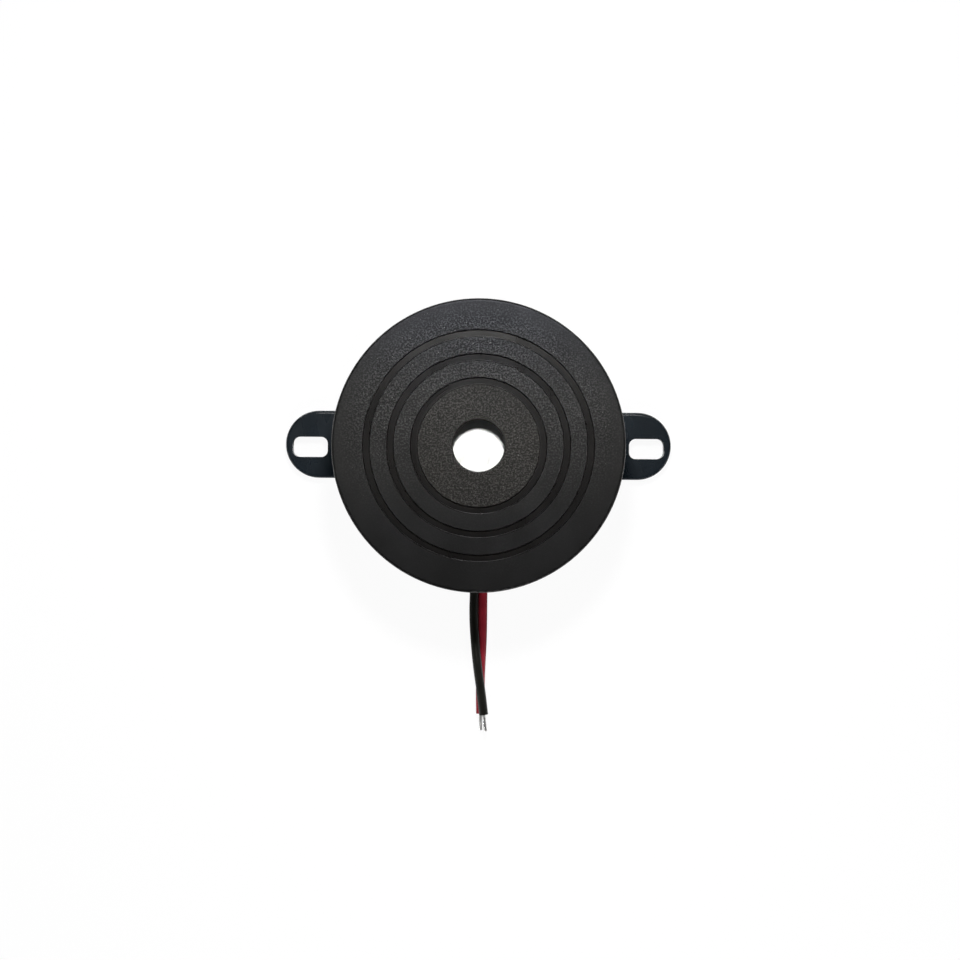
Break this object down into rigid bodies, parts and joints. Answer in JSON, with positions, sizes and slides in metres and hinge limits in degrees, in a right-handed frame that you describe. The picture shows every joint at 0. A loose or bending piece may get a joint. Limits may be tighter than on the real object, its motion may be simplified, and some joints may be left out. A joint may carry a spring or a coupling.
{
  "type": "piezo alarm buzzer",
  "caption": "Round black piezo alarm buzzer: ringed front with a central sound hole, slotted mounting ears, potted back and red and black flying leads.",
  "frame": {"origin": "centre of the back plane that is screwed to a panel, on the axis of the round body", "axes": "+Z out of the sound hole, +X through both mounting ears, leads towards -Y"},
  "size_m": [0.0574, 0.0637, 0.016],
  "materials": {
    "housing_plastic": "satin",
    "plate_metal": "satin",
    "piezo_ceramic": "matte",
    "electrode_silver": "satin",
    "silicone": "matte",
    "board_laminate": "matte",
    "solder": "satin",
    "ferrite": "matte",
    "copper_winding": "satin",
    "component_black": "matte",
    "resistor_body": "gloss",
    "capacitor_body": "gloss",
    "fine_wire_red": "satin",
    "fine_wire_white": "satin",
    "fine_wire_black": "satin",
    "potting_epoxy": "gloss",
    "tinned_copper": "satin",
    "lead_red_pvc": "satin",
    "lead_black_pvc": "satin"
  },
  "bodies": {
    "root": {"housing": "housing_plastic", "diaphragm_plate": "plate_metal", "ceramic_disc": "piezo_ceramic", "main_electrode": "electrode_silver", "feedback_electrode": "electrode_silver", "plate_adhesive": "silicone", "circuit_board": "board_laminate", "board_solder": "solder", "wire_solder": "solder", "choke_core": "ferrite", "choke_winding": "copper_winding", "transistor": "component_black", "bias_resistor": "resistor_body", "base_resistor": "resistor_body", "feedback_resistor": "resistor_body", "diode": "component_black", "ceramic_capacitor": "capacitor_body", "main_wire": "fine_wire_red", "feedback_wire": "fine_wire_white", "plate_wire": "fine_wire_black", "potting": "potting_epoxy", "lead_board_ends": "tinned_copper", "lead_red": "lead_red_pvc", "lead_black": "lead_black_pvc", "lead_red_tip": "tinned_copper", "lead_black_tip": "tinned_copper"}
  },
  "joints": []
}
